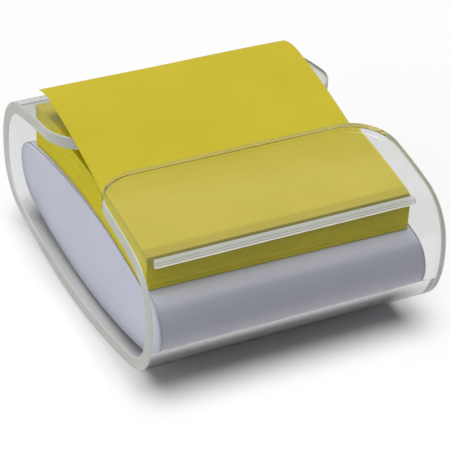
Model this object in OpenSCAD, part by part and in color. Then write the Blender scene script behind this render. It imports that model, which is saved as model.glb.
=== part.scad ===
// Desktop dispenser for pop-up sticky notes: a clear one-piece sleeve, open at both ends
// and along a gap in its top, with a weighted base and a pad of notes inside it.
// X runs along the open ends, +Y points to the back, Z = 0 is the table top.

/* [Pad of notes] */
// Side of the square pad and of each note
pad_side = 76.2; // [70:0.1:100]
// Thickness of the pad
pad_t = 10.2; // [5:0.1:11]
// Turn of the pad on its deck, in degrees
pad_turn = -0.9; // [-2:0.1:2]
// Clearance between the pad's highest corners and the sleeve
pad_room = 0.5; // [0.4:0.05:2]

/* [Clear sleeve] */
// Room for each nose of the sleeve, past the pad in front and behind
nose_room = 12.9; // [10:0.1:18]
// Height of the sleeve without its feet
shell_h = 45; // [43:0.5:50]
// Thickness of the clear wall
shell_wall = 3.6; // [2.4:0.1:4]
// Radius of the shallow arch across the top, and of the one across the floor
crown_r = 165; // [162:1:200]
// Radius of the round nose at the front and at the back
nose_r = 27.5; // [26:0.5:30]
// Radius of the shoulder that blends an arch into a nose
shoulder_r = 15; // [12:0.5:17]

/* [Gap in the top] */
// Distance from the middle to the edge of the front lip
gap_front = 10.2; // [8:0.1:14]
// Distance from the middle to the edge of the back lip
gap_back = 6.6; // [5:0.1:12]
// Radius of the four corners of the lips
lip_corner_r = 12.5; // [4:0.5:14]

/* [Stop rib] */
// Distance from the side of the pad to the end of the rib
rib_short = 0.3; // [0:0.1:10]
// Thickness of the rib
rib_t = 1.3; // [1:0.1:2]
// Drop of the rib below the inside of the sleeve
rib_drop = 1.5; // [1:0.1:3]
// Distance from the front of the pad to the rib
rib_clear = 2.2; // [1.5:0.1:3.5]

/* [Popped note] */
// Thickness that stands for the single sheet
note_t = 0.3; // [0.2:0.05:0.4]
// Air between the note and the pad under it
note_air = 0.02; // [0.01:0.01:0.1]
// Sideways offset of the note from the middle
note_x = -1.1; // [-2:0.1:2]
// Length by which the note falls short of the side of the pad
note_short = 4.2; // [0:0.1:6]
// Overhang of the note past the front of the pad
note_overhang = 0.5; // [0:0.1:1]
// Distance under the front lip over which the note leaves the pad
note_lead = 5.8; // [5.4:0.1:8]
// Radius of the bend where the note leaves the pad
note_rise_r = 28; // [25:1:40]
// Angle by which the note springs up above the line from its lift to the back lip
note_spring_deg = 2.7; // [2.4:0.1:4]
// Clearance of the note over the edge of the back lip
note_lip_gap = 0.5; // [0.3:0.1:2]
// Radius of the nearly straight stretch through the gap
note_span_r = 240; // [180:5:400]
// Angle of the note where it starts to droop, in degrees
note_droop_deg = 9.6; // [8:0.2:12]
// Radius of the drooping end
note_droop_r = 18; // [14:1:40]

/* [Base] */
// Width of the deck that shows past each side of the pad
deck_rim = 1.1; // [0.5:0.1:4]
// Distance from each open end of the sleeve to the flat end of the base
base_recess = 3.8; // [2:0.1:5]
// Clearance between the noses of the base and the sleeve
base_fit = 0.3; // [0.2:0.05:0.6]
// Wall of the base moulding
base_wall = 2; // [1.6:0.1:2.6]
// Radius of the arched deck that carries the pad
deck_r = 190; // [175:1:195]
// Radius of the edge between the deck and the nose of the base
deck_edge_r = 7; // [5:0.5:9]

/* [Bottom cover] */
// Width of the floor that is left round the opening under the base
hatch_rim = 4.2; // [3:0.1:6]
// Width of the rebate round the opening
hatch_rebate = 2; // [1.5:0.1:2.5]
// Clearance round the cover
hatch_fit = 0.15; // [0.1:0.05:0.3]
// Thickness of the ribs on the cover and under the deck
web_t = 1.6; // [1.2:0.1:2.4]

/* [Steel weight] */
// Distance from the edge of the opening to the plate
weight_rim = 2.2; // [2:0.1:8]
// Thickness of the plate
weight_t = 6; // [3:0.5:8]
// Radius of the plate's corners
weight_corner_r = 4; // [2:0.5:8]
// Play above the plate
weight_play = 0.3; // [0.2:0.1:0.6]

/* [Feet] */
// Diameter of a foot
foot_d = 8.5; // [6:0.5:12]
// Distance from an open end of the sleeve to the middle of a foot
foot_inset_x = 12; // [8:0.5:20]
// Distance from a nose of the sleeve to the middle of a foot
foot_inset_y = 31; // [26:0.5:38]
// Gap between the table and the lowest line of the sleeve
foot_drop = 0.8; // [0.5:0.1:2]
// Radius of the worn edge under a foot
foot_edge_r = 0.4; // [0.2:0.05:0.5]

/* [Hidden] */
$fn = 180;

// The pad sets the length of the base and the depth of the sleeve round it.
base_l = pad_side + 2 * deck_rim;
shell_w = base_l + 2 * base_recess;
shell_d = pad_side + 2 * nose_room;

// Height of the middle of the sleeve above the table
lift = foot_drop + shell_h / 2;
// Length by which a cutting block overshoots what it cuts
over = 1;
// Length that reaches past the whole part in any direction
far = shell_w + shell_d;

// Section points are [y, z], measured from the middle of the sleeve.
crown_c = [0, shell_h / 2 - crown_r];
nose_c = [shell_d / 2 - nose_r, 0];
shoulder_c = blend_centre(crown_c, crown_r, nose_c, nose_r, shoulder_r);

// Circles that bound the sleeve: top, shoulder, nose, lower shoulder and floor
sleeve_arcs = [
    [crown_c, crown_r],
    [shoulder_c, shoulder_r],
    [nose_c, nose_r],
    [flip(shoulder_c), shoulder_r],
    [flip(crown_c), crown_r]
];

// The corners of the pad come closest to the sleeve, so they set the height of the deck.
pad_top_r = deck_r + pad_t;
corner_y = pad_side / 2 * (cos(pad_turn) + abs(sin(pad_turn)));
corner_drop = pad_top_r - sqrt(pad_top_r * pad_top_r - corner_y * corner_y);
deck_top = ceiling_z(corner_y) - pad_room + corner_drop - pad_t;

// The base seats on the floor of the sleeve and stays clear of its noses.
deck_c = [0, deck_top - deck_r];
floor_r = crown_r - shell_wall;
base_nose_r = nose_r - shell_wall - base_fit;
base_heel_r = shoulder_r - shell_wall - base_fit;
base_arcs = [
    [deck_c, deck_r],
    [blend_centre(deck_c, deck_r, nose_c, base_nose_r, deck_edge_r), deck_edge_r],
    [nose_c, base_nose_r],
    [flip(blend_centre(crown_c, floor_r, nose_c, base_nose_r, base_heel_r)), base_heel_r],
    [flip(crown_c), floor_r]
];

// The opening under the base has a rebate halfway through its floor, for the cover.
hatch_l = base_l - 2 * (base_wall + hatch_rim);
hatch_w = 2 * (meeting(base_arcs[3], base_arcs[4], 0)[0] - hatch_rim);
rebate_depth = base_wall / 2;
cover_top_r = floor_r - base_wall;

// The plate lies level on webs that stand on the curved cover.
weight_l = hatch_l - 2 * weight_rim;
weight_w = hatch_w - 2 * weight_rim;
web_top = -arch_z(crown_c, cover_top_r, weight_w / 2) + weight_play;
web_x = weight_l / 3;
stop_h = weight_t / 2;

rib_len = pad_side - 2 * rib_short;
rib_y = -pad_side / 2 - rib_clear;

foot_x = shell_w / 2 - foot_inset_x;
foot_y = shell_d / 2 - foot_inset_y;

// The note starts on the arch of the pad, leaves it under the front lip and springs up
// through the gap, so that it passes just over the back lip.
note_r = pad_top_r + note_air + note_t / 2;
note_start_deg = asin((pad_side / 2 + note_overhang) / note_r);
note_start = deck_c + note_r * [-sin(note_start_deg), cos(note_start_deg)];
note_lift_deg = asin((gap_front + note_lead) / note_r);
note_lift = deck_c + note_r * [-sin(note_lift_deg), cos(note_lift_deg)];
note_over_lip = [gap_back, arch_z(crown_c, crown_r, gap_back) + note_lip_gap + note_t / 2];
note_climb = note_over_lip - note_lift;
note_rise_deg = atan2(note_climb[1], note_climb[0]) + note_spring_deg;
note_bends = [
    [note_r, note_lift_deg - note_start_deg],
    [note_rise_r, note_rise_deg - note_lift_deg],
    [note_span_r, note_droop_deg - note_rise_deg]
];
note_l = pad_side - note_short;
note_left = note_l - bend_length(note_bends);
note_runs = concat(note_bends, [[note_droop_r, -degrees(note_left / note_droop_r)]]);
note_steps = 40;

// Mirror image of a section point below the middle of the sleeve
function flip(p) = [p[0], -p[1]];

// Point at distance r from a, in the direction of b
function toward(a, b, r) = a + (b - a) / norm(b - a) * r;

// Height of an arch at distance y from the middle
function arch_z(c, r, y) = c[1] + sqrt(r * r - (y - c[0]) * (y - c[0]));

function degrees(radians) = radians * 180 / PI;

// Centre of the circle of radius r that touches circles a and b from inside,
// on the outer side of the line between their centres
function blend_centre(a, ra, b, rb, r) =
    let (
        d = norm(b - a),
        u = (b - a) / d,
        along = ((ra - r) * (ra - r) - (rb - r) * (rb - r) + d * d) / (2 * d),
        aside = sqrt((ra - r) * (ra - r) - along * along)
    )
    a + u * along + [u[1], -u[0]] * aside;

// Point where two arcs of a chain meet, both made smaller by an inset
function meeting(a, b, inset) =
    a[1] > b[1] ? toward(a[0], b[0], a[1] - inset) : toward(b[0], a[0], b[1] - inset);

// Height of the inside of the sleeve's top at distance y from the middle
function ceiling_z(y) =
    let (blend = meeting(sleeve_arcs[0], sleeve_arcs[1], shell_wall))
    abs(y) < blend[0] ? arch_z(crown_c, crown_r - shell_wall, y)
    : arch_z(shoulder_c, shoulder_r - shell_wall, abs(y));

// Length of a strip made of bends, each a radius and a turn in degrees
function bend_length(bends, i = 0) =
    i == len(bends) ? 0 : bends[i][0] * abs(bends[i][1]) * PI / 180 + bend_length(bends, i + 1);

// Place and heading after going length s round a bend from a place and heading
function round_bend(from, bend, s) =
    let (
        side = sign(bend[1]),
        heading = from[1] + side * degrees(s / bend[0]),
        step = [sin(heading) - sin(from[1]), cos(from[1]) - cos(heading)]
    )
    [from[0] + side * bend[0] * step, heading];

// Place and heading at length s along the note
function place_along(bends, s, from = [note_start, note_start_deg], i = 0) =
    let (length = bend_length([bends[i]]))
    s <= length || i == len(bends) - 1 ? round_bend(from, bends[i], s)
    : place_along(bends, s - length, round_bend(from, bends[i], length), i + 1);

// Point at distance d to the left of a place and heading
function beside(station, d) = station[0] + d * [-sin(station[1]), cos(station[1])];

// Takes the sharp corner off where two circles cross, outside the one that blends them.
module corner_cut(arcs, i, inset) {
    blend_c = arcs[i][0];
    a = meeting(arcs[i - 1], arcs[i], inset);
    b = meeting(arcs[i], arcs[i + 1], inset);
    reach = 4 * arcs[i][1];
    difference() {
        polygon([blend_c, toward(blend_c, a, reach), toward(blend_c, b, reach)]);
        translate(blend_c) circle(arcs[i][1] - inset);
    }
}

// Closed section inside its top and floor circles and its two noses, with blended corners
module section(arcs, inset = 0) {
    nose_at = arcs[2][0];
    end_r = arcs[2][1] - inset;
    difference() {
        intersection() {
            translate(arcs[0][0]) circle(arcs[0][1] - inset);
            translate(arcs[4][0]) circle(arcs[4][1] - inset);
            union() {
                square(2 * [nose_at[0], end_r], center = true);
                for (side = [-1, 1]) translate([side * nose_at[0], nose_at[1]]) circle(end_r);
            }
        }
        for (side = [0, 1], i = [1, 3]) mirror([side, 0]) corner_cut(arcs, i, inset);
    }
}

// Pulls a [y, z] section out along X, centred on the sleeve.
module along_width(length) {
    translate([0, 0, lift]) rotate([90, 0, 90]) linear_extrude(length, center = true) children();
}

// Block with its size and its lowest face given, centred on the sleeve in plan
module block(length, width, bottom, top) {
    translate([-length / 2, -width / 2, lift + bottom]) cube([length, width, top - bottom]);
}

// Plan of one lip of the sleeve: it fills the side away from the gap.
module lip_plan(edge) {
    half = shell_w / 2;
    translate([-half, edge + lip_corner_r]) square([shell_w, far]);
    translate([lip_corner_r - half, edge]) square([shell_w - 2 * lip_corner_r, far]);
    for (side = [-1, 1])
        translate([side * (half - lip_corner_r), edge + lip_corner_r]) circle(lip_corner_r);
}

module gap_cut() {
    reach = gap_front + gap_back + 2 * lip_corner_r;
    translate([0, 0, lift]) linear_extrude(shell_h)
    difference() {
        translate([-shell_w / 2 - over, -gap_front - lip_corner_r])
            square([shell_w + 2 * over, reach]);
        lip_plan(gap_back);
        mirror([0, 1]) lip_plan(gap_front);
    }
}

module stop_rib() {
    top = ceiling_z(rib_y) + shell_wall / 2;
    translate([0, rib_y - rib_t / 2, 0])
        block(rib_len, rib_t, ceiling_z(rib_y) - rib_drop, top);
}

module clear_shell() {
    color([0.86, 0.9, 0.87, 0.35]) {
        difference() {
            along_width(shell_w) difference() {
                section(sleeve_arcs);
                section(sleeve_arcs, shell_wall);
            }
            gap_cut();
        }
        stop_rib();
    }
}

// Curved band of the base's floor between two depths, kept to a rectangle in plan
module floor_band(outer_r, inner_r, length, width) {
    intersection() {
        along_width(far) translate(flip(crown_c)) difference() {
            circle(outer_r);
            circle(inner_r);
        }
        block(length, width, -shell_h / 2, 0);
    }
}

// Ribs under the deck that keep the steel plate down
module deck_webs() {
    intersection() {
        for (side = [-1, 1])
            translate([side * web_x / 2, 0, 0])
                block(web_t, weight_w, web_top + weight_t + weight_play, shell_h / 2);
        along_width(far) section(base_arcs, base_wall / 2);
    }
}

module base_body() {
    color([0.84, 0.85, 0.9]) {
        difference() {
            along_width(base_l) section(base_arcs);
            along_width(base_l - 2 * base_wall) section(base_arcs, base_wall);
            block(hatch_l, hatch_w, -shell_h / 2, 0);
            floor_band(
                floor_r + over, floor_r - rebate_depth,
                hatch_l + 2 * hatch_rebate, hatch_w + 2 * hatch_rebate
            );
        }
        deck_webs();
    }
}

// Everything below the inner face of the cover
module below_cover() {
    difference() {
        block(far, far, -shell_h, 0);
        along_width(far + over) translate(flip(crown_c)) circle(cover_top_r);
    }
}

// Webs that carry the plate, and upstands that keep it in place
module cover_webs() {
    stop_x = (weight_l + web_t) / 2 + hatch_fit;
    stop_y = (weight_w + web_t) / 2 + hatch_fit;
    difference() {
        union() {
            for (x = [-web_x, 0, web_x]) translate([x, 0, 0]) {
                block(web_t, weight_w, -shell_h / 2, web_top);
                for (side = [-1, 1]) translate([0, side * stop_y, 0])
                    block(web_t, web_t, -shell_h / 2, web_top + stop_h);
            }
            for (side = [-1, 1]) translate([side * stop_x, 0, 0])
                block(web_t, weight_w / 3, -shell_h / 2, web_top + stop_h);
        }
        below_cover();
    }
}

module base_cover() {
    color([0.78, 0.79, 0.84]) {
        floor_band(
            floor_r, floor_r - rebate_depth,
            hatch_l + 2 * (hatch_rebate - hatch_fit), hatch_w + 2 * (hatch_rebate - hatch_fit)
        );
        floor_band(
            floor_r - rebate_depth, cover_top_r,
            hatch_l - 2 * hatch_fit, hatch_w - 2 * hatch_fit
        );
        cover_webs();
    }
}

module steel_weight() {
    inner = [weight_l / 2 - weight_corner_r, weight_w / 2 - weight_corner_r];
    color([0.6, 0.62, 0.65])
    translate([0, 0, lift + web_top]) linear_extrude(weight_t) {
        square([weight_l, 2 * inner[1]], center = true);
        square([2 * inner[0], weight_w], center = true);
        for (sx = [-1, 1], sy = [-1, 1])
            translate([sx * inner[0], sy * inner[1]]) circle(weight_corner_r);
    }
}

module note_pad() {
    color([0.8, 0.75, 0.2])
    intersection() {
        along_width(far) translate(deck_c) difference() {
            circle(pad_top_r);
            circle(deck_r);
        }
        rotate([0, 0, pad_turn]) block(pad_side, pad_side, 0, shell_h);
    }
}

module popup_note() {
    stations = [for (k = [0 : note_steps]) place_along(note_runs, note_l * k / note_steps)];
    color([0.84, 0.8, 0.28])
    translate([note_x, 0, 0]) along_width(pad_side) polygon(concat(
        [for (k = [0 : note_steps]) beside(stations[k], note_t / 2)],
        [for (k = [note_steps : -1 : 0]) beside(stations[k], -note_t / 2)]
    ));
}

module foot(side_x, side_y) {
    r = foot_d / 2;
    color([0.75, 0.77, 0.76, 0.6])
    difference() {
        translate([side_x * foot_x, side_y * foot_y, 0]) rotate_extrude() {
            square([r - foot_edge_r, lift]);
            translate([0, foot_edge_r]) square([r, lift - foot_edge_r]);
            translate([r - foot_edge_r, foot_edge_r]) circle(foot_edge_r);
        }
        along_width(far) section(sleeve_arcs);
    }
}

clear_shell();
base_body();
base_cover();
steel_weight();
note_pad();
popup_note();
foot(-1, -1);  // foot_front_left
foot(1, -1);  // foot_front_right
foot(-1, 1);  // foot_back_left
foot(1, 1);  // foot_back_right
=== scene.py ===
"""Looks of a clear desktop dispenser with a pad of pop-up notes and one note pulled up."""
import math
import random

import bpy
from mathutils import Matrix, Vector


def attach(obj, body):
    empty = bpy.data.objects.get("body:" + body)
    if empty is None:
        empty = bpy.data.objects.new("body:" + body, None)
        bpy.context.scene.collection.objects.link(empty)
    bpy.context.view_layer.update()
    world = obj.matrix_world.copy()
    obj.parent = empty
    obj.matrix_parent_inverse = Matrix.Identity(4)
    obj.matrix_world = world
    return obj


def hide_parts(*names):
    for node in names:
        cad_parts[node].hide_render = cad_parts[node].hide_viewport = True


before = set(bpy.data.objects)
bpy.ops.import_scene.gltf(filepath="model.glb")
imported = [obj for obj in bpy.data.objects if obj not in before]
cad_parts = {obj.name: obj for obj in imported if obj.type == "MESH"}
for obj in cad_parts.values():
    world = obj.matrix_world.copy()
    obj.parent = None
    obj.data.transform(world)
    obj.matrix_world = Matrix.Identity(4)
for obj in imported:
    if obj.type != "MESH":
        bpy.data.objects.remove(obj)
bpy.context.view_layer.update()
MM = 0.001

# ---------------------------------------------------------------- sizes, in mm, as in the CAD source
PAD_SIDE, PAD_T, PAD_TURN, PAD_ROOM = 76.2, 10.2, -0.9, 0.5
SHELL_H, WALL = 45.0, 3.6
LIFT = 23.3           # middle of the sleeve above the table
DECK_RIM, BASE_RECESS, NOSE_ROOM = 1.1, 3.8, 12.9
BASE_L = PAD_SIDE + 2 * DECK_RIM
HALF_W = BASE_L / 2 + BASE_RECESS
HALF_D = PAD_SIDE / 2 + NOSE_ROOM
CROWN_R, NOSE_R, SHOULDER_R = 165.0, 27.5, 15.0
GAP_FRONT, GAP_BACK, LIP_R = 10.2, 6.6, 12.5
RIB_T, RIB_DROP, RIB_SHORT, RIB_CLEAR = 1.3, 1.5, 0.3, 2.2
RIB_HALF, RIB_Y = PAD_SIDE / 2 - RIB_SHORT, -PAD_SIDE / 2 - RIB_CLEAR
DECK_R, EDGE_R, BASE_FIT, BASE_WALL = 190.0, 7.0, 0.3, 2.0
HATCH_RIM, REBATE = 4.2, 2.0
NOTE_T, NOTE_AIR, NOTE_X, NOTE_SHORT = 0.3, 0.02, -1.1, 4.2
NOTE_L = PAD_SIDE - NOTE_SHORT
NOTE_OVERHANG, NOTE_LEAD, NOTE_LIP_GAP = 0.5, 5.8, 0.5
NOTE_SPRING, NOTE_DROOP = 2.7, 9.6     # degrees
NOTE_RISE_R, NOTE_SPAN_R, NOTE_DROOP_R = 28.0, 240.0, 18.0

# ---------------------------------------------------------------- details of the looks alone, in mm
EDGE_FILLET = 0.45    # edge of the sleeve
RIB_FILLET = 0.3      # lower edges of the rib
RIB_LEAN = 0.8        # slant of the normals on the rib's matt back face
POLISHED_ROWS = 9     # rows of the front lip whose edge is polished
BENT_FROM = 36.5      # distance from the middle at which the crown counts as bent
BASE_FILLET = 0.4     # moulded edge of the base
GROOVE_W, GROOVE_D = 0.55, 0.45     # seam near each end of the base
BED_AIR = 0.05        # keeps the facets of sleeve and base apart where the faces touch
SHEET_STEPS = 45      # layers into which the pad's sides are cut
SHEET_START, SHEET_DRIFT = 0.03, 0.04     # how far they step in at first, and at most
SHEET_WALK, SHEET_JITTER = 0.004, 0.0015  # how much that changes from layer to layer
FOOT_DRAWN_IN = 0.4   # how far the lowest layer steps in
SHEET_T = 0.16        # thickness of the popped note
WAVE_FROM = 0.42      # share of the note's length after which it waves
SLANT_FROM, SLANT_FULL = 0.04, 0.30       # Facing values between which a wall turns light away
NEAR, FAR = 0.010, 0.025                  # metres behind the wall between which that fades


# ---------------------------------------------------------------- section geometry
def direction(a, b):
    """Unit vector from a to b."""
    d = math.hypot(b[0] - a[0], b[1] - a[1])
    return ((b[0] - a[0]) / d, (b[1] - a[1]) / d)


def blend_centre(a, ra, b, rb, r):
    """Centre of the circle of radius r that touches circles a and b from inside."""
    d = math.hypot(b[0] - a[0], b[1] - a[1])
    u = direction(a, b)
    along = ((ra - r) ** 2 - (rb - r) ** 2 + d * d) / (2 * d)
    aside = math.sqrt((ra - r) ** 2 - along ** 2)
    return (a[0] + u[0] * along + u[1] * aside, a[1] + u[1] * along - u[0] * aside)


def arch_z(c, r, y):
    """Height of the upper half of a circle at y."""
    return c[1] + math.sqrt(r * r - (y - c[0]) ** 2)


def flip(c):
    """The same centre below the middle."""
    return (c[0], -c[1])


CROWN_C = (0.0, SHELL_H / 2 - CROWN_R)
NOSE_C = (HALF_D - NOSE_R, 0.0)
SHOULDER_C = blend_centre(CROWN_C, CROWN_R, NOSE_C, NOSE_R, SHOULDER_R)
SLEEVE = [(CROWN_C, CROWN_R), (SHOULDER_C, SHOULDER_R), (NOSE_C, NOSE_R),
          (flip(SHOULDER_C), SHOULDER_R), (flip(CROWN_C), CROWN_R)]

half_corner = math.radians(abs(PAD_TURN))
CORNER_Y = PAD_SIDE / 2 * (math.cos(half_corner) + math.sin(half_corner))
PAD_TOP_R = DECK_R + PAD_T
CORNER_DROP = PAD_TOP_R - math.sqrt(PAD_TOP_R ** 2 - CORNER_Y ** 2)
DECK_TOP = (arch_z(SHOULDER_C, SHOULDER_R - WALL, CORNER_Y)
            if CORNER_Y > SHOULDER_C[0] + (SHOULDER_R - WALL) * direction(CROWN_C, SHOULDER_C)[0]
            else arch_z(CROWN_C, CROWN_R - WALL, CORNER_Y)) - PAD_ROOM + CORNER_DROP - PAD_T
DECK_C = (0.0, DECK_TOP - DECK_R)
FLOOR_R = CROWN_R - WALL
BASE_NOSE_R = NOSE_R - WALL - BASE_FIT
HEEL_R = SHOULDER_R - WALL - BASE_FIT
BASE = [(DECK_C, DECK_R),
        (blend_centre(DECK_C, DECK_R, NOSE_C, BASE_NOSE_R, EDGE_R), EDGE_R),
        (NOSE_C, BASE_NOSE_R),
        (flip(blend_centre(CROWN_C, FLOOR_R, NOSE_C, BASE_NOSE_R, HEEL_R)), HEEL_R),
        (flip(CROWN_C), FLOOR_R)]


def joints(arcs):
    """Angles at which each arc of the +y half starts and ends, from the top down."""
    turns = [math.pi / 2]
    for (a, ra), (b, rb) in zip(arcs, arcs[1:]):
        u = direction(a, b) if ra > rb else direction(b, a)
        turns.append(math.atan2(u[1], u[0]))
    turns.append(-math.pi / 2)
    return turns


class Spot:
    """A place on a section: by angle on an arc, or at a fixed y on it. side is +1 or -1."""

    def __init__(self, arc, side, angle=None, y=None, up=True):
        self.c, self.r = arc
        self.side, self.angle, self.y, self.up = side, angle, y, up

    def at(self, inset):
        """(y, z) and its outward normal, at a depth below the outer face."""
        r = self.r - inset
        if self.angle is None:
            dy = self.y - self.c[0]
            dz = math.sqrt(r * r - dy * dy) * (1 if self.up else -1)
            n = (dy / r, dz / r)
        else:
            n = (math.cos(self.angle), math.sin(self.angle))
        place = (self.side * (self.c[0] + r * n[0]), self.c[1] + r * n[1])
        return place, (self.side * n[0], n[1])


def steps(a, b, n):
    """n + 1 even values from a to b."""
    return [a + (b - a) * k / n for k in range(n + 1)]


# ---------------------------------------------------------------- meshes
class Skin:
    """A mesh with a normal of its own at each face corner and a material for each face."""

    def __init__(self):
        self.points, self.known, self.faces, self.normals = [], {}, [], []
        self.paint, self.paints = 0, []     # index of the material of the next faces

    def index(self, p):
        key = (round(p[0], 4), round(p[1], 4), round(p[2], 4))
        if key not in self.known:
            self.known[key] = len(self.points)
            self.points.append(p)
        return self.known[key]

    def face(self, corners):
        """corners: (point, normal) pairs. The face turns to the side that its normals point to."""
        kept = []
        for p, n in corners:
            i = self.index(p)
            if i not in [k[0] for k in kept]:
                kept.append((i, n))
        if len(kept) < 3:
            return
        area = Vector((0, 0, 0))
        first = Vector(self.points[kept[0][0]])
        for (a, _), (b, _) in zip(kept[1:], kept[2:]):
            area += (Vector(self.points[a]) - first).cross(Vector(self.points[b]) - first)
        mean = sum((Vector(n) for _, n in kept), Vector((0, 0, 0)))
        if area.length < 1e-9:
            return
        if area.dot(mean) < 0:
            kept.reverse()
        self.faces.append([i for i, _ in kept])
        self.normals.append([Vector(n).normalized() for _, n in kept])
        self.paints.append(self.paint)

    def grid(self, rows, keep=None):
        """rows: lists of (point, normal) of equal length."""
        for i, (a, b) in enumerate(zip(rows, rows[1:])):
            for j in range(len(a) - 1):
                if keep is None or keep(i, j):
                    self.face([a[j], a[j + 1], b[j + 1], b[j]])

    def piece(self, name, materials, slot, *nodes):
        """Puts the mesh in the scene in place of the frame's nodes."""
        mesh = bpy.data.meshes.new(name)
        mesh.from_pydata([tuple(c * MM for c in p) for p in self.points], [], self.faces)
        mesh.polygons.foreach_set("use_smooth", [True] * len(mesh.polygons))
        mesh.normals_split_custom_set([tuple(n) for ns in self.normals for n in ns])
        for material in materials:
            mesh.materials.append(material)
        mesh.polygons.foreach_set("material_index", self.paints)
        mesh.update()
        ob = bpy.data.objects.new(name, mesh)
        bpy.context.scene.collection.objects.link(ob)
        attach(ob, "root")
        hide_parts(*nodes)


# ---------------------------------------------------------------- material helpers
def linear(r, g, b):
    """Linear colour of an 8-bit sRGB one."""
    return tuple(c / 255 / 12.92 if c <= 10 else ((c / 255 + 0.055) / 1.055) ** 2.4
                 for c in (r, g, b)) + (1.0,)


class Tree:
    """A node tree that is built from nothing."""

    def __init__(self, tree):
        self.tree = tree
        self.tree.nodes.clear()

    def add(self, kind):
        return self.tree.nodes.new(kind)

    def link(self, a, b):
        self.tree.links.new(a, b)

    def remap(self, value, low, high, new_low, new_high):
        node = self.add("ShaderNodeMapRange")
        ends = (("From Min", low), ("From Max", high), ("To Min", new_low), ("To Max", new_high))
        for key, v in ends:
            node.inputs[key].default_value = v
        self.link(value, node.inputs["Value"])
        return node.outputs["Result"]

    def math(self, operation, a, b=None):
        """b is None for an operation on one value."""
        node = self.add("ShaderNodeMath")
        node.operation = operation
        for k, v in enumerate((a, b)):
            if v is None:
                continue
            if isinstance(v, (int, float)):
                node.inputs[k].default_value = v
            else:
                self.link(v, node.inputs[k])
        return node.outputs[0]

    def mix(self, factor, first, second):
        """The first shader where the factor is 0 and the second where it is 1."""
        node = self.add("ShaderNodeMixShader")
        for k, socket in enumerate((factor, first, second)):
            self.link(socket, node.inputs[k])
        return node.outputs[0]


class Nodes(Tree):
    """The nodes of a new material."""

    def __init__(self, name):
        self.mat = bpy.data.materials.new(name)
        self.mat.use_nodes = True
        super().__init__(self.mat.node_tree)
        self.out = self.add("ShaderNodeOutputMaterial")

    def principled(self, **sockets):
        node = self.add("ShaderNodeBsdfPrincipled")
        for key, value in sockets.items():
            node.inputs[key.replace("_", " ")].default_value = value
        return node

    def place(self, scale=(1, 1, 1), rotation=(0, 0, 0)):
        """Object coordinates in millimetres."""
        coords = self.add("ShaderNodeTexCoord")
        mapping = self.add("ShaderNodeMapping")
        mapping.inputs["Scale"].default_value = tuple(1000 * s for s in scale)
        mapping.inputs["Rotation"].default_value = rotation
        self.link(coords.outputs["Object"], mapping.inputs["Vector"])
        return mapping.outputs["Vector"]

    def noise(self, vector, scale, detail=3.0, roughness=0.5):
        node = self.add("ShaderNodeTexNoise")
        node.inputs["Scale"].default_value = scale
        node.inputs["Detail"].default_value = detail
        node.inputs["Roughness"].default_value = roughness
        self.link(vector, node.inputs["Vector"])
        return node.outputs["Fac"]

    def ramp(self, factor, stops):
        node = self.add("ShaderNodeValToRGB")
        ramp = node.color_ramp
        while len(ramp.elements) < len(stops):
            ramp.elements.new(0.5)
        for element, (at, colour) in zip(ramp.elements, stops):
            element.position = at
            element.color = colour
        self.link(factor, node.inputs["Fac"])
        return node.outputs["Color"]

    def bump(self, height, strength, distance):
        node = self.add("ShaderNodeBump")
        node.inputs["Strength"].default_value = strength
        node.inputs["Distance"].default_value = distance
        self.link(height, node.inputs["Height"])
        return node.outputs["Normal"]

    def light_passes(self, surface, share, slanted):
        """The shader, with straight light through it as in a thin clear wall. A curved wall turns
        slanting light away from what is close behind it, and farther off that light spreads."""
        layer = self.add("ShaderNodeLayerWeight")
        layer.inputs["Blend"].default_value = 0.5
        through = self.add("ShaderNodeBsdfTransparent")
        path = self.add("ShaderNodeLightPath")
        slant = self.remap(layer.outputs["Facing"], SLANT_FROM, SLANT_FULL, 0.0, 1.0)
        near = self.remap(path.outputs["Ray Length"], NEAR, FAR, 1.0, 0.0)
        self.link(self.remap(self.math("MULTIPLY", slant, near), 0.0, 1.0, share, slanted),
                  through.inputs["Color"])
        lit = self.math("MAXIMUM", path.outputs["Is Shadow Ray"], path.outputs["Is Diffuse Ray"])
        return self.mix(lit, surface.outputs[0], through.outputs[0])

    def finish(self, shader):
        self.link(shader, self.out.inputs["Surface"])
        return self.mat


# ---------------------------------------------------------------- materials
def clear_acrylic(name, slanted):
    """slanted: share of straight light that passes one face of the wall at a steep slant."""
    m = Nodes(name)
    vector = m.place()
    # Handling haze: faint patches that are a little less glossy
    haze = m.noise(vector, 0.09, 4.0, 0.6)
    shell = m.principled(Base_Color=(0.988, 0.993, 0.985, 1), Transmission_Weight=1.0, IOR=1.49)
    m.link(m.remap(haze, 0.35, 0.7, 0.0, 0.035), shell.inputs["Roughness"])
    return m.finish(m.light_passes(shell, 0.985, slanted))


def satin_edge(name, dark, bright):
    """Cut edge of the acrylic, left matt: it glows a little with the light inside the sheet."""
    m = Nodes(name)
    cloud = m.noise(m.place(), 0.12, 3.0)
    cut = m.noise(m.place(scale=(1.0, 0.25, 0.25)), 3.0, 3.0, 0.6)
    surface = m.principled(Transmission_Weight=0.18, IOR=1.49, Specular_IOR_Level=0.3)
    m.link(m.ramp(cloud, [(0.3, dark), (0.7, bright)]), surface.inputs["Base Color"])
    m.link(m.remap(cut, 0.3, 0.7, 0.34, 0.46), surface.inputs["Roughness"])
    m.link(m.bump(cut, 0.1, 0.00002), surface.inputs["Normal"])
    return m.finish(m.light_passes(surface, 0.85, 0.85))


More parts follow.
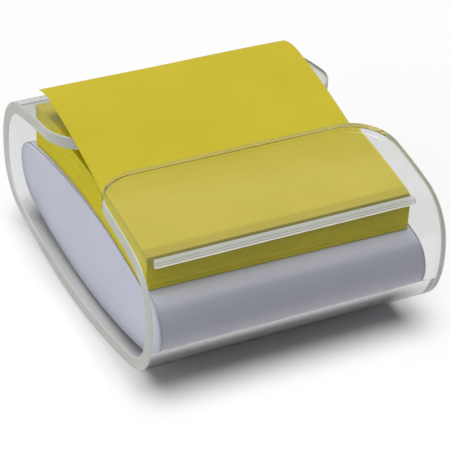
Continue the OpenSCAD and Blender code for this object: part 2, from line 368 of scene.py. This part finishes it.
def satin_plastic(name, colour):
    """Fine-grained moulding."""
    m = Nodes(name)
    vector = m.place()
    broad = m.noise(vector, 0.035, 3.0)
    grain = m.noise(vector, 3.2, 2.0, 0.6)
    dark = tuple(c * 0.965 for c in colour[:3]) + (1,)
    bright = tuple(min(1.0, c * 1.04) for c in colour[:3]) + (1,)
    surface = m.principled(Specular_IOR_Level=0.28, IOR=1.5)
    m.link(m.ramp(broad, [(0.3, dark), (0.7, bright)]), surface.inputs["Base Color"])
    m.link(m.remap(grain, 0.3, 0.7, 0.56, 0.68), surface.inputs["Roughness"])
    m.link(m.bump(grain, 0.12, 0.00003), surface.inputs["Normal"])
    return m.finish(surface.outputs[0])


def yellow_paper(name, colour, edges=False):
    """Uncoated paper. edges: draws the cut edges of the sheets of a pad."""
    m = Nodes(name)
    vector = m.place()
    fibres = m.noise(m.place(scale=(1.0, 0.35, 1.0), rotation=(0, 0, 0.5)), 2.4, 5.0, 0.62)
    cloud = m.noise(vector, 0.06, 2.0)
    tint = m.math("ADD", m.math("MULTIPLY", fibres, 0.35), m.math("MULTIPLY", cloud, 0.65))
    dark = (colour[0] * 0.955, colour[1] * 0.95, colour[2] * 0.88, 1)
    bright = (min(1, colour[0] * 1.035), min(1, colour[1] * 1.035), colour[2] * 1.10, 1)
    surface = m.principled(Roughness=0.8, Specular_IOR_Level=0.1,
                           Sheen_Weight=0.03, Sheen_Roughness=0.5)
    base = m.ramp(tint, [(0.32, dark), (0.68, bright)])
    if edges:
        # Cut edges of the single sheets, counted out from the axis of the deck
        parts = m.add("ShaderNodeSeparateXYZ")
        m.link(vector, parts.inputs[0])
        up = m.math("SUBTRACT", parts.outputs["Z"], LIFT + DECK_C[1])
        radius = m.math("SQRT", m.math("ADD", m.math("MULTIPLY", up, up),
                                       m.math("MULTIPLY", parts.outputs["Y"], parts.outputs["Y"])))
        wobble = m.math("MULTIPLY", m.noise(vector, 0.5, 2.0), 0.05)
        sheet = m.math("PINGPONG", m.math("ADD", radius, wobble), 0.1)
        line = m.remap(sheet, 0.0, 0.03, 0.96, 1.0)
        mix = m.add("ShaderNodeMix")
        mix.data_type = "RGBA"
        mix.blend_type = "MULTIPLY"
        mix.inputs["Factor"].default_value = 1.0
        m.link(base, mix.inputs["A"])
        shade = m.ramp(line, [(0.8, (0.86, 0.86, 0.82, 1)), (1.0, (1, 1, 1, 1))])
        m.link(shade, mix.inputs["B"])
        base = mix.outputs["Result"]
    m.link(base, surface.inputs["Base Color"])
    m.link(m.bump(fibres, 0.10, 0.00002), surface.inputs["Normal"])
    return m.finish(surface.outputs[0])


def zinc_steel():
    """Zinc-coated plate, brushed along its length."""
    m = Nodes("zinc_steel")
    brushed = m.noise(m.place(scale=(0.03, 2.5, 2.5)), 1.0, 4.0, 0.6)
    spangle = m.noise(m.place(), 0.12, 2.0)
    surface = m.principled(Metallic=1.0)
    m.link(m.ramp(spangle, [(0.35, linear(164, 168, 172)), (0.65, linear(192, 195, 198))]),
           surface.inputs["Base Color"])
    m.link(m.remap(brushed, 0.3, 0.7, 0.3, 0.5), surface.inputs["Roughness"])
    m.link(m.bump(brushed, 0.2, 0.00002), surface.inputs["Normal"])
    return m.finish(surface.outputs[0])


def soft_vinyl():
    """Soft see-through material of the feet."""
    m = Nodes("soft_vinyl")
    vector = m.place()
    cloud = m.noise(vector, 0.4, 3.0)
    fine = m.noise(vector, 6.0, 2.0)
    surface = m.principled(Transmission_Weight=0.35, IOR=1.45)
    m.link(m.ramp(cloud, [(0.35, linear(196, 200, 198)), (0.65, linear(214, 217, 215))]),
           surface.inputs["Base Color"])
    m.link(m.remap(fine, 0.3, 0.7, 0.35, 0.55), surface.inputs["Roughness"])
    m.link(m.bump(fine, 0.15, 0.00002), surface.inputs["Normal"])
    return m.finish(surface.outputs[0])


ACRYLIC = clear_acrylic("clear_acrylic", 0.95)
ACRYLIC_INSIDE = clear_acrylic("clear_acrylic_inside", 0.27)
SATIN_EDGE = satin_edge("satin_edge", linear(203, 207, 199), linear(213, 216, 209))
# Painted light: the rib takes a paler copy of the edge satin, its colour raised to stand in for the
# light that runs down the rib
RIB_SATIN_PAINTED_LIGHT = satin_edge("rib_satin_painted_light", linear(236, 238, 230), linear(244, 245, 238))
BASE_PLASTIC = satin_plastic("moulding_plastic", linear(204, 206, 223))
COVER_PLASTIC = satin_plastic("cover_plastic", linear(192, 194, 206))
NOTE_PAPER = yellow_paper("note_sheet", linear(204, 188, 54))
# Painted light: the pad's sheets are the note's paper, drawn brighter and deeper yellow to make up
# for the light they lose under the sleeve
PAD_PAPER_PAINTED_LIGHT = yellow_paper("pad_sheets_painted_light", linear(215, 202, 34), edges=True)
STEEL = zinc_steel()
VINYL = soft_vinyl()


# ---------------------------------------------------------------- clear sleeve
def sleeve_rows():
    """Rows of the sleeve from the back lip round the bottom to the front lip. A row is a
    function of the inset from the outline: its spot, its half width and the outline's normal."""
    turns = joints(SLEEVE)
    lip_steps = 12

    def lip(edge, side):
        made = []
        for a in steps(0, math.pi / 2, lip_steps):
            made.append(lambda d, a=a: (
                Spot(SLEEVE[0], side, y=edge + LIP_R - (LIP_R - d) * math.cos(a)),
                HALF_W - LIP_R + (LIP_R - d) * math.sin(a), (math.sin(a), -math.cos(a))))
        return made

    def fixed(arc, side, angle):
        return lambda d: (Spot(arc, side, angle=angle), HALF_W - d, (1.0, 0.0))

    def half(side, edge):
        """From the lip down to the lowest line."""
        made = lip(edge, side)
        beyond_lip = 1.2
        start = math.acos((edge + LIP_R + beyond_lip) / CROWN_R)
        plan = [(0, start, turns[1], 7), (1, turns[1], turns[2], 14), (2, turns[2], turns[3], 12),
                (3, turns[3], turns[4], 14), (4, turns[4], turns[5], 12)]
        angles = []
        for arc, a, b, n in plan:
            for k, angle in enumerate(steps(a, b, n)):
                if arc == 0 or k > 0:
                    angles.append((arc, angle))
        if side < 0:
            # The two faces of the rib get rows of their own
            inner = SHOULDER_R - WALL
            for y in (-RIB_Y - RIB_T / 2, -RIB_Y + RIB_T / 2):
                angles.append((1, math.acos((y - SHOULDER_C[0]) / inner)))
            angles.sort(key=lambda item: (item[0], -item[1]))
            rib = [math.acos((-RIB_Y + s * RIB_T / 2 - SHOULDER_C[0]) / inner) for s in (-1, 1)]
            too_near = 0.012
            angles = [(arc, a) for arc, a in angles
                      if arc != 1 or a in rib or min(abs(a - r) for r in rib) > too_near]
        made += [fixed(SLEEVE[arc], side, a) for arc, a in angles]
        return made

    back, front = half(1, GAP_BACK), half(-1, GAP_FRONT)
    rows = back + front[-2::-1]
    return rows, len(rows) - 1


def make_sleeve():
    """Clear sleeve with rounded edges, matt cut ends and the rib under its front lip."""
    skin = Skin()
    rows, last = sleeve_rows()
    f = EDGE_FILLET
    half = HALF_W - f
    right_half = [0.2, 0.6, RIB_HALF / half, 0.985, 1]     # shares of the half width
    shares = [-t for t in reversed(right_half)] + right_half

    def surface(i, share, d, depth, inner):
        """Point and surface normal on row i, below the outer face or above the inner one."""
        spot, width, _ = rows[i](d)
        wall = WALL - BED_AIR if spot.c == SLEEVE[4][0] else WALL
        (y, z), n = spot.at(wall - depth if inner else depth)
        s = -1 if inner else 1
        return (share * width, y, LIFT + z), (0, s * n[0], s * n[1])

    def side_of(i):
        return rows[i](0)[0].side

    # Ring of places round the outline: along the back lip, down the right end and so on
    ring = ([(0, t, "lip") for t in shares] + [(i, 1, "end") for i in range(1, last)]
            + [(last, t, "lip") for t in reversed(shares)]
            + [(i, -1, "end") for i in range(last - 1, 0, -1)])

    def rim(turn, inner):
        """One line of the rounded edge, and its normals."""
        d, depth = f * (1 - math.sin(turn)), f * (1 - math.cos(turn))
        made = []
        for i, t, kind in ring:
            p, n = surface(i, t, d, depth, inner)
            w = rows[i](d)[2]
            side = side_of(i)
            out = Vector((t * w[0], side * w[1], 0)) if kind == "end" else Vector((0, side * w[1], 0))
            made.append((p, tuple(Vector(n) * math.cos(turn) + out * math.sin(turn)), tuple(out)))
        return made + made[:1]

    # Outer and inner faces. The inner one leaves room for the rib.
    for inner in (False, True):
        lines = [[surface(i, t, f, 0, inner) for t in shares] for i in range(last + 1)]
        middles = [((a[0][0][1] + b[0][0][1]) / 2, a[0][0][2]) for a, b in zip(lines, lines[1:])]

        def keep(i, j):
            """False for an inner face that the rib covers."""
            y, z = middles[i]
            in_rib = abs(y - RIB_Y) < RIB_T / 2 and z > LIFT
            return not (inner and in_rib and abs(shares[j] + shares[j + 1]) / 2 * half < RIB_HALF)

        for i in range(last):
            bent = rows[i](0)[0].c != CROWN_C or abs(middles[i][0]) > BENT_FROM
            skin.paint = 2 if inner and bent else 0
            skin.grid(lines[i:i + 2], lambda _, j, i=i: keep(i, j))
        if inner:
            band = [i for i in range(last + 1)
                    if abs(lines[i][0][0][1] - RIB_Y) < RIB_T / 2 + 1e-3 and lines[i][0][0][2] > LIFT]
            inner_lines = lines

    def finish_of(k):
        """Matt on the ends and the back lip, polished along the front lip."""
        return 1 if ring[k][0] < last - POLISHED_ROWS else 0

    # Rounded edges and the flat edge between them
    turns = steps(0, math.pi / 2, 5)
    for inner in (False, True):
        for a, b in zip(turns, turns[1:]):
            la, lb = rim(a, inner), rim(b, inner)
            for k in range(len(la) - 1):
                skin.paint = finish_of(k)
                skin.face([la[k][:2], la[k + 1][:2], lb[k + 1][:2], lb[k][:2]])
    outer_edge, inner_edge = rim(math.pi / 2, False), rim(math.pi / 2, True)
    for k in range(len(outer_edge) - 1):
        a, b, c, e = outer_edge[k], outer_edge[k + 1], inner_edge[k + 1], inner_edge[k]
        skin.paint = finish_of(k)
        skin.face([(a[0], a[2]), (b[0], b[2]), (c[0], c[2]), (e[0], e[2])])

    # Rib: two faces, two ends and a bottom with rounded long edges
    cols = [j for j, t in enumerate(shares) if abs(t) * half < RIB_HALF + 1e-3]
    top = {i: [inner_lines[i][j][0] for j in cols] for i in band}
    low = LIFT + arch_z(SHOULDER_C, SHOULDER_R - WALL, -RIB_Y) - RIB_DROP
    g = RIB_FILLET
    xs = [p[0] for p in top[band[0]]]
    levels = []
    for i in (band[0], band[-1]):
        y = top[i][0][1]
        s = 1 if y > RIB_Y else -1
        lean = (0, s, -RIB_LEAN) if s > 0 else (0, s, 0)
        wall = [(top[i][k], lean) for k in range(len(xs))]
        foot = [((x, y, low + g), lean) for x in xs]
        # The back face and the bottom take the rib's satin, whose paler colour is painted light
        skin.paint = 3 if s > 0 else 0
        skin.grid([wall, foot])
        bend = [[((x, y - s * g * (1 - math.cos(a)), low + g - g * math.sin(a)),
                  (0, s * math.cos(a), -math.sin(a))) for x in xs] for a in steps(0, math.pi / 2, 4)]
        skin.grid(bend)
        levels.append((i, y, s, [row[0][0][1:] for row in bend]))
    bottom = [[((x, y - s * g, low), (0, 0, -1)) for x in xs] for _, y, s, _ in levels]
    skin.paint = 3
    skin.grid(bottom)
    skin.paint = 0
    for x, out, col in ((xs[0], -1, 0), (xs[-1], 1, -1)):
        outline = [(x, top[i][col][1], top[i][col][2]) for i in band]
        down = [(x, y, z) for y, z in levels[1][3]]
        up = [(x, y, z) for y, z in reversed(levels[0][3])]
        skin.face([(p, (out, 0, 0)) for p in outline + down + up])
    skin.piece("clear_sleeve", (ACRYLIC, SATIN_EDGE, ACRYLIC_INSIDE, RIB_SATIN_PAINTED_LIGHT),
               "clear_plastic", "clear_shell")


# ---------------------------------------------------------------- base
def make_base():
    """Hollow moulding with an opening in its floor and a seam groove near each end."""
    skin = Skin()
    turns = joints(BASE)
    floor_y = BASE[3][0][0] + HEEL_R * math.cos(turns[4])
    hatch = (BASE_L / 2 - BASE_WALL - HATCH_RIM, floor_y - HATCH_RIM)
    rebate = (hatch[0] + REBATE, hatch[1] + REBATE)
    f = BASE_FILLET
    mid_x = 10.0                     # columns on both sides of the middle
    floor_ys = [24.0, 12.0, 0.0]     # rows across the floor
    floor_below = LIFT - 10          # only the floor lies below this

    half_spots = []
    for arc, n in ((0, 14), (1, 10), (2, 12), (3, 8)):
        for k, a in enumerate(steps(turns[arc], turns[arc + 1], n)):
            if arc == 0 or k > 0:
                half_spots.append((arc, "angle", a))
    for y in [rebate[1], hatch[1]] + floor_ys:
        half_spots.append((4, "y", y))

    def spots(side):
        made = []
        for arc, kind, value in half_spots:
            if kind == "angle":
                made.append(Spot(BASE[arc], side, angle=value))
            else:
                made.append(Spot(BASE[arc], side, y=value, up=False))
        return made

    back, front = spots(1), spots(-1)
    ring = back + front[-2:0:-1]
    ring.append(ring[0])

    def line(x, inset, s=1):
        """The section's ring at x, below the outer face. s turns its normals in or out."""
        made = []
        for spot in ring:
            (y, z), n = spot.at(inset)
            made.append(((x, y, LIFT + z), (0, s * n[0], s * n[1])))
        return made

    def in_window(line_a, j, box, x_mid):
        """True for a face of the floor that lies in the opening."""
        ya, yb = line_a[j][0][1], line_a[j + 1][0][1]
        low = line_a[j][0][2] < floor_below
        return low and abs(ya + yb) / 2 < box[1] and abs(x_mid) < box[0]

    def skin_of(inset, xs, box, s):
        rows = [line(x, inset, s) for x in xs]
        for a, b in zip(rows, rows[1:]):
            x_mid = (a[0][0][0] + b[0][0][0]) / 2
            for j in range(len(a) - 1):
                if not in_window(a, j, box, x_mid):
                    skin.face([a[j], a[j + 1], b[j + 1], b[j]])

    end = BASE_L / 2
    groove = end - f - GROOVE_W
    skin_of(0.0, [-groove, -rebate[0], -hatch[0], -mid_x, mid_x, hatch[0], rebate[0], groove],
            rebate, 1)
    for side in (-1, 1):
        for x, face in ((end - f, -side), (groove, side)):
            skin.grid([[(p, (face, 0, 0)) for p, _ in line(side * x, inset)]
                       for inset in (0.0, GROOVE_D)])
        skin.grid([line(side * x, GROOVE_D) for x in (end - f, groove)])
    for side in (-1, 1):
        lines = []
        for a in steps(0, math.pi / 2, 6):
            row = []
            for spot in ring:
                (y, z), n = spot.at(f * (1 - math.cos(a)))
                row.append(((side * (end - f + f * math.sin(a)), y, LIFT + z),
                            (side * math.sin(a), n[0] * math.cos(a), n[1] * math.cos(a))))
            lines.append(row)
        skin.grid(lines)
        skin.face([(p, (side, 0, 0)) for p, _ in lines[-1][:-1]])

    # Rebate and opening, then the hollow above them
    half_wall = BASE_WALL / 2

    def floor_point(x, y, inset):
        return (x, y, LIFT - arch_z(CROWN_C, FLOOR_R - inset, y))

    ys = floor_ys + [-y for y in floor_ys[-2::-1]]

    def frame_loop(box, inset):
        """Points on the floor round a box, at a depth below its outer face."""
        right = [(box[0], y) for y in [box[1]] + ys + [-box[1]]]
        left = [(-box[0], y) for y in [-box[1]] + ys[::-1] + [box[1]]]
        return [floor_point(x, y, inset) for x, y in right + left]

    def loop_wall(box, a, b):
        """Upright walls round a box between two depths."""
        la, lb = frame_loop(box, a), frame_loop(box, b)
        n = len(la)
        for k in range(n):
            p, q = la[k], la[(k + 1) % n]
            flat_x = abs(p[0] - q[0]) < 1e-6
            normal = (-math.copysign(1, p[0]), 0, 0) if flat_x else (0, -math.copysign(1, p[1]), 0)
            skin.face([(p, normal), (q, normal), (lb[(k + 1) % n], normal), (lb[k], normal)])

    loop_wall(rebate, 0, half_wall)
    loop_wall(hatch, half_wall, BASE_WALL)
    la, lb = frame_loop(rebate, half_wall), frame_loop(hatch, half_wall)
    for k in range(len(la)):
        m = (k + 1) % len(la)
        corners = [la[k], la[m], lb[m], lb[k]]
        skin.face([(p, (0, -p[1] / FLOOR_R, -1)) for p in corners])
    skin_of(BASE_WALL, [-end + BASE_WALL, -hatch[0], -mid_x, mid_x, hatch[0], end - BASE_WALL],
            hatch, -1)
    for side in (-1, 1):
        row = line(side * (end - BASE_WALL), BASE_WALL)
        skin.face([(p, (-side, 0, 0)) for p, _ in row[:-1]])
    skin.piece("base_moulding", (BASE_PLASTIC,), "base_plastic", "base_body")


# ---------------------------------------------------------------- pad of notes
def make_pad():
    """Closed block whose sides step in and out a little from sheet to sheet."""
    rng = random.Random(11)
    skin = Skin()
    half = PAD_SIDE / 2
    layers = SHEET_STEPS
    turn = math.radians(PAD_TURN)
    c, s = math.cos(turn), math.sin(turn)
    n_side = 30

    def put(u, v, r):
        """A place of the turned pad at a radius from the deck's axis."""
        x, y = c * u - s * v, s * u + c * v
        return (x, y, LIFT + DECK_C[1] + math.sqrt(r * r - y * y))

    def up(p):
        return (0, p[1] / PAD_TOP_R, 1)

    def edges_of(offsets):
        """Left, right, front and back edge of a layer whose sides step in by the offsets."""
        left, right, front, back = offsets
        return -half + left, half - right, -half + front, half - back

    def outline(offsets, r):
        """Points round a layer, n_side to a side, from its front left corner."""
        x0, x1, y0, y1 = edges_of(offsets)
        corners = [(x0, y0), (x1, y0), (x1, y1), (x0, y1), (x0, y0)]
        return [put(xa + (xb - xa) * k / n_side, ya + (yb - ya) * k / n_side, r)
                for (xa, ya), (xb, yb) in zip(corners, corners[1:]) for k in range(n_side)]

    sides = ((s, -c, 0), (c, s, 0), (-s, c, 0), (-c, -s, 0))

    def band(a, b, normal=None):
        """Faces between two outlines, with the normal of their side unless one is given."""
        n = len(a)
        for k in range(n):
            m = (k + 1) % n
            skin.face([(p, normal or sides[k // n_side]) for p in (a[k], a[m], b[m], b[k])])

    offsets, drift = [], [SHEET_START] * 4
    for k in range(layers):
        drift = [min(SHEET_DRIFT, max(0.0, d + rng.uniform(-SHEET_WALK, SHEET_WALK))) for d in drift]
        offsets.append([max(0.0, d + rng.uniform(-SHEET_JITTER, SHEET_JITTER)) for d in drift])
    offsets[0] = [FOOT_DRAWN_IN] * 4
    previous = None
    for k in range(layers):
        r0, r1 = DECK_R + PAD_T * k / layers, DECK_R + PAD_T * (k + 1) / layers
        low, high = outline(offsets[k], r0), outline(offsets[k], r1)
        if previous is not None:
            out = sum(offsets[k]) < sum(offsets[k - 1])
            band(previous, low, (0, 0, -1 if out else 1))
        band(low, high)
        previous = high
    for offset, r, sign in ((offsets[0], DECK_R, -1), (offsets[-1], PAD_TOP_R, 1)):
        x0, x1, y0, y1 = edges_of(offset)
        rows = []
        for i in range(n_side + 1):
            row = []
            for j in range(n_side + 1):
                p = put(x0 + (x1 - x0) * j / n_side, y0 + (y1 - y0) * i / n_side, r)
                row.append((p, tuple(sign * q for q in up(p))))
            rows.append(row)
        skin.grid(rows)
    skin.piece("pad_of_notes", (PAD_PAPER_PAINTED_LIGHT,), "pad_paper", "note_pad")


# ---------------------------------------------------------------- popped note
def note_path():
    """Runs of the note's middle line, as in the CAD source: [radius, turn in degrees]."""
    note_r = PAD_TOP_R + NOTE_AIR + NOTE_T / 2
    start = math.asin((PAD_SIDE / 2 + NOTE_OVERHANG) / note_r)
    lift = math.asin((GAP_FRONT + NOTE_LEAD) / note_r)
    p0 = (-note_r * math.sin(start), DECK_C[1] + note_r * math.cos(start))
    p1 = (-note_r * math.sin(lift), DECK_C[1] + note_r * math.cos(lift))
    over = (GAP_BACK, arch_z(CROWN_C, CROWN_R, GAP_BACK) + NOTE_LIP_GAP + NOTE_T / 2)
    rise = math.degrees(math.atan2(over[1] - p1[1], over[0] - p1[0])) + NOTE_SPRING
    bends = [(note_r, math.degrees(lift - start)), (NOTE_RISE_R, rise - math.degrees(lift)),
             (NOTE_SPAN_R, NOTE_DROOP - rise)]
    left = NOTE_L - sum(r * math.radians(abs(t)) for r, t in bends)
    bends.append((NOTE_DROOP_R, -math.degrees(left / NOTE_DROOP_R)))
    return p0, math.degrees(start), bends


def make_note():
    """Thin sheet that leaves the pad, rises through the gap and droops at its free end."""
    skin = Skin()
    place, heading, bends = note_path()
    line = []
    total = 96
    for k in range(total + 1):
        s = NOTE_L * k / total
        (y, z), a = place, heading
        for r, turn in bends:
            length = r * math.radians(abs(turn))
            go = min(s, length) if (r, turn) != bends[-1] else s
            sign = 1 if turn > 0 else -1
            b = a + sign * math.degrees(go / r)
            ra, rb = math.radians(a), math.radians(b)
            y += sign * r * (math.sin(rb) - math.sin(ra))
            z += sign * r * (math.cos(ra) - math.cos(rb))
            a = b
            s -= go
            if s <= 1e-9:
                break
        line.append((y, z, math.radians(a)))
    across = 40
    sheets = []
    for side in (1, -1):
        rows = []
        for k, (y, z, a) in enumerate(line):
            row = []
            free = max(0.0, (k / total - WAVE_FROM) / (1 - WAVE_FROM))
            for j in range(across + 1):
                u = j / across * 2 - 1
                # The free end waves a little, as paper does
                wave = free * (0.10 * math.sin(2.6 * u + 0.4) - 0.06 * math.cos(4.4 * u) - 0.08)
                d = side * SHEET_T / 2 + wave
                p = (NOTE_X + u * PAD_SIDE / 2, y - d * math.sin(a), LIFT + z + d * math.cos(a))
                row.append((p, (0, -side * math.sin(a), side * math.cos(a))))
            rows.append(row)
        skin.grid(rows)
        sheets.append(rows)
    top, under = sheets
    for k in (0, total):
        sign = -1 if k == 0 else 1
        a = line[k][2]
        n = (0, sign * math.cos(a), sign * math.sin(a))
        skin.grid([[(p, n) for p, _ in top[k]], [(p, n) for p, _ in under[k]]])
    for j, n in ((0, (-1, 0, 0)), (across, (1, 0, 0))):
        skin.grid([[(row[j][0], n) for row in top], [(row[j][0], n) for row in under]])
    skin.piece("popped_note", (NOTE_PAPER,), "note_paper", "popup_note")


make_sleeve()
make_base()
make_pad()
make_note()

for node, material in (("base_cover", COVER_PLASTIC), ("steel_weight", STEEL),
                       ("foot_front_left", VINYL), ("foot_front_right", VINYL),
                       ("foot_back_left", VINYL), ("foot_back_right", VINYL)):
    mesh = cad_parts[node].data
    mesh.materials.clear()
    mesh.materials.append(material)


# ---------------------------------------------------------------- floor, light and camera
def make_floor():
    """Pale paper sweep. Where it is mirrored in or seen through the clear parts its colour is darker:
    painted shade, in place of the shade and tint that light through those parts would give it.
    """
    m = Nodes("floor_paper")
    surface = m.principled(Roughness=0.9, Specular_IOR_Level=0.0)
    cloud = m.noise(m.place(), 0.004, 2.0)
    path = m.add("ShaderNodeLightPath")
    clear = m.math("MAXIMUM", path.outputs["Is Glossy Ray"], path.outputs["Is Transmission Ray"])
    # Painted shade: 0.21 off the floor's colour for rays mirrored in or seen through the clear parts
    shade = m.math("ADD", m.remap(cloud, 0.3, 0.7, 0.965, 0.985), m.math("MULTIPLY", clear, -0.21))
    m.link(shade, surface.inputs["Base Color"])
    material = m.finish(surface.outputs[0])
    mesh = bpy.data.meshes.new("floor")
    radius, n = 4.0, 64     # in metres
    turns = [2 * math.pi * k / n for k in range(n)]
    points = [(0, 0, 0)] + [(radius * math.cos(a), radius * math.sin(a), 0) for a in turns]
    mesh.from_pydata(points, [], [(0, 1 + k, 1 + (k + 1) % n) for k in range(n)])
    mesh.materials.append(material)
    ob = bpy.data.objects.new("floor", mesh)
    bpy.context.scene.collection.objects.link(ob)


make_floor()


def sun_light(name, source, spread, strength):
    """Soft white light from a direction, spread over an angle in degrees."""
    data = bpy.data.lights.new(name, "SUN")
    data.angle = math.radians(spread)
    data.energy = strength
    ob = bpy.data.objects.new(name, data)
    ob.rotation_mode = "QUATERNION"
    ob.rotation_quaternion = Vector(source).to_track_quat("Z", "Y")
    bpy.context.scene.collection.objects.link(ob)


sun_light("overhead_softbox", (-0.05, 0.07, 1.0), 42, 2.62)
sun_light("side_fill", (-0.85, -0.10, 0.42), 70, 0.62)


def make_world():
    """White behind the object. The clear parts mirror a wide light overhead and a dim room."""
    world = bpy.data.worlds.new("studio")
    bpy.context.scene.world = world
    world.use_nodes = True
    nodes = Tree(world.node_tree)

    def white(strength):
        """White light, of a number or of a socket's strength."""
        node = nodes.add("ShaderNodeBackground")
        node.inputs["Color"].default_value = (1, 1, 1, 1)
        if isinstance(strength, float):
            node.inputs["Strength"].default_value = strength
        else:
            nodes.link(strength, node.inputs["Strength"])
        return node.outputs[0]

    coords, parts = nodes.add("ShaderNodeTexCoord"), nodes.add("ShaderNodeSeparateXYZ")
    nodes.link(coords.outputs["Generated"], parts.inputs[0])
    path = nodes.add("ShaderNodeLightPath").outputs
    overhead = nodes.math("MULTIPLY", nodes.remap(parts.outputs["Z"], 0.64, 0.74, 0.0, 1.0),
                          nodes.remap(parts.outputs["Y"], -0.45, 0.05, 0.0, 1.0))
    room = nodes.math("MAXIMUM", nodes.remap(overhead, 0.0, 1.0, 0.144, 0.64),
                      nodes.remap(path["Is Transmission Ray"], 0.0, 1.0, 0.0, 0.336))
    by_glass = nodes.math("MAXIMUM", path["Is Glossy Ray"], path["Is Transmission Ray"])
    light = nodes.mix(by_glass, white(0.09), white(room))
    seen = nodes.mix(path["Is Camera Ray"], light, white(1.0))
    nodes.link(seen, nodes.add("ShaderNodeOutputWorld").inputs["Surface"])


make_world()


CAMERA_TURN = (-28.5886, 34.1442, 3.3620)     # azimuth, elevation and roll, in degrees
CAMERA_PLACE = (-0.1957, -0.3658, 0.2952)     # in metres
CAMERA_LENS = 143.33


def make_camera():
    azimuth, elevation, roll = (math.radians(v) for v in CAMERA_TURN)
    back = Vector((math.sin(azimuth) * math.cos(elevation),
                   -math.cos(azimuth) * math.cos(elevation), math.sin(elevation)))
    right = Vector((math.cos(azimuth), math.sin(azimuth), 0))
    up = back.cross(right)
    x = right * math.cos(roll) + up * math.sin(roll)
    y = up * math.cos(roll) - right * math.sin(roll)
    data = bpy.data.cameras.new("camera")
    data.sensor_fit = "HORIZONTAL"
    data.sensor_width = 36.0
    data.lens = CAMERA_LENS
    data.clip_start, data.clip_end = 0.01, 20.0
    ob = bpy.data.objects.new("camera", data)
    px, py, pz = CAMERA_PLACE
    ob.matrix_world = Matrix(((x.x, y.x, back.x, px), (x.y, y.y, back.y, py),
                              (x.z, y.z, back.z, pz), (0, 0, 0, 1)))
    bpy.context.scene.collection.objects.link(ob)
    bpy.context.scene.camera = ob


make_camera()

scene = bpy.context.scene
scene.view_settings.view_transform = "Standard"
scene.cycles.max_bounces = 24
scene.cycles.transmission_bounces = 20
scene.cycles.glossy_bounces = 8
scene.cycles.transparent_max_bounces = 24
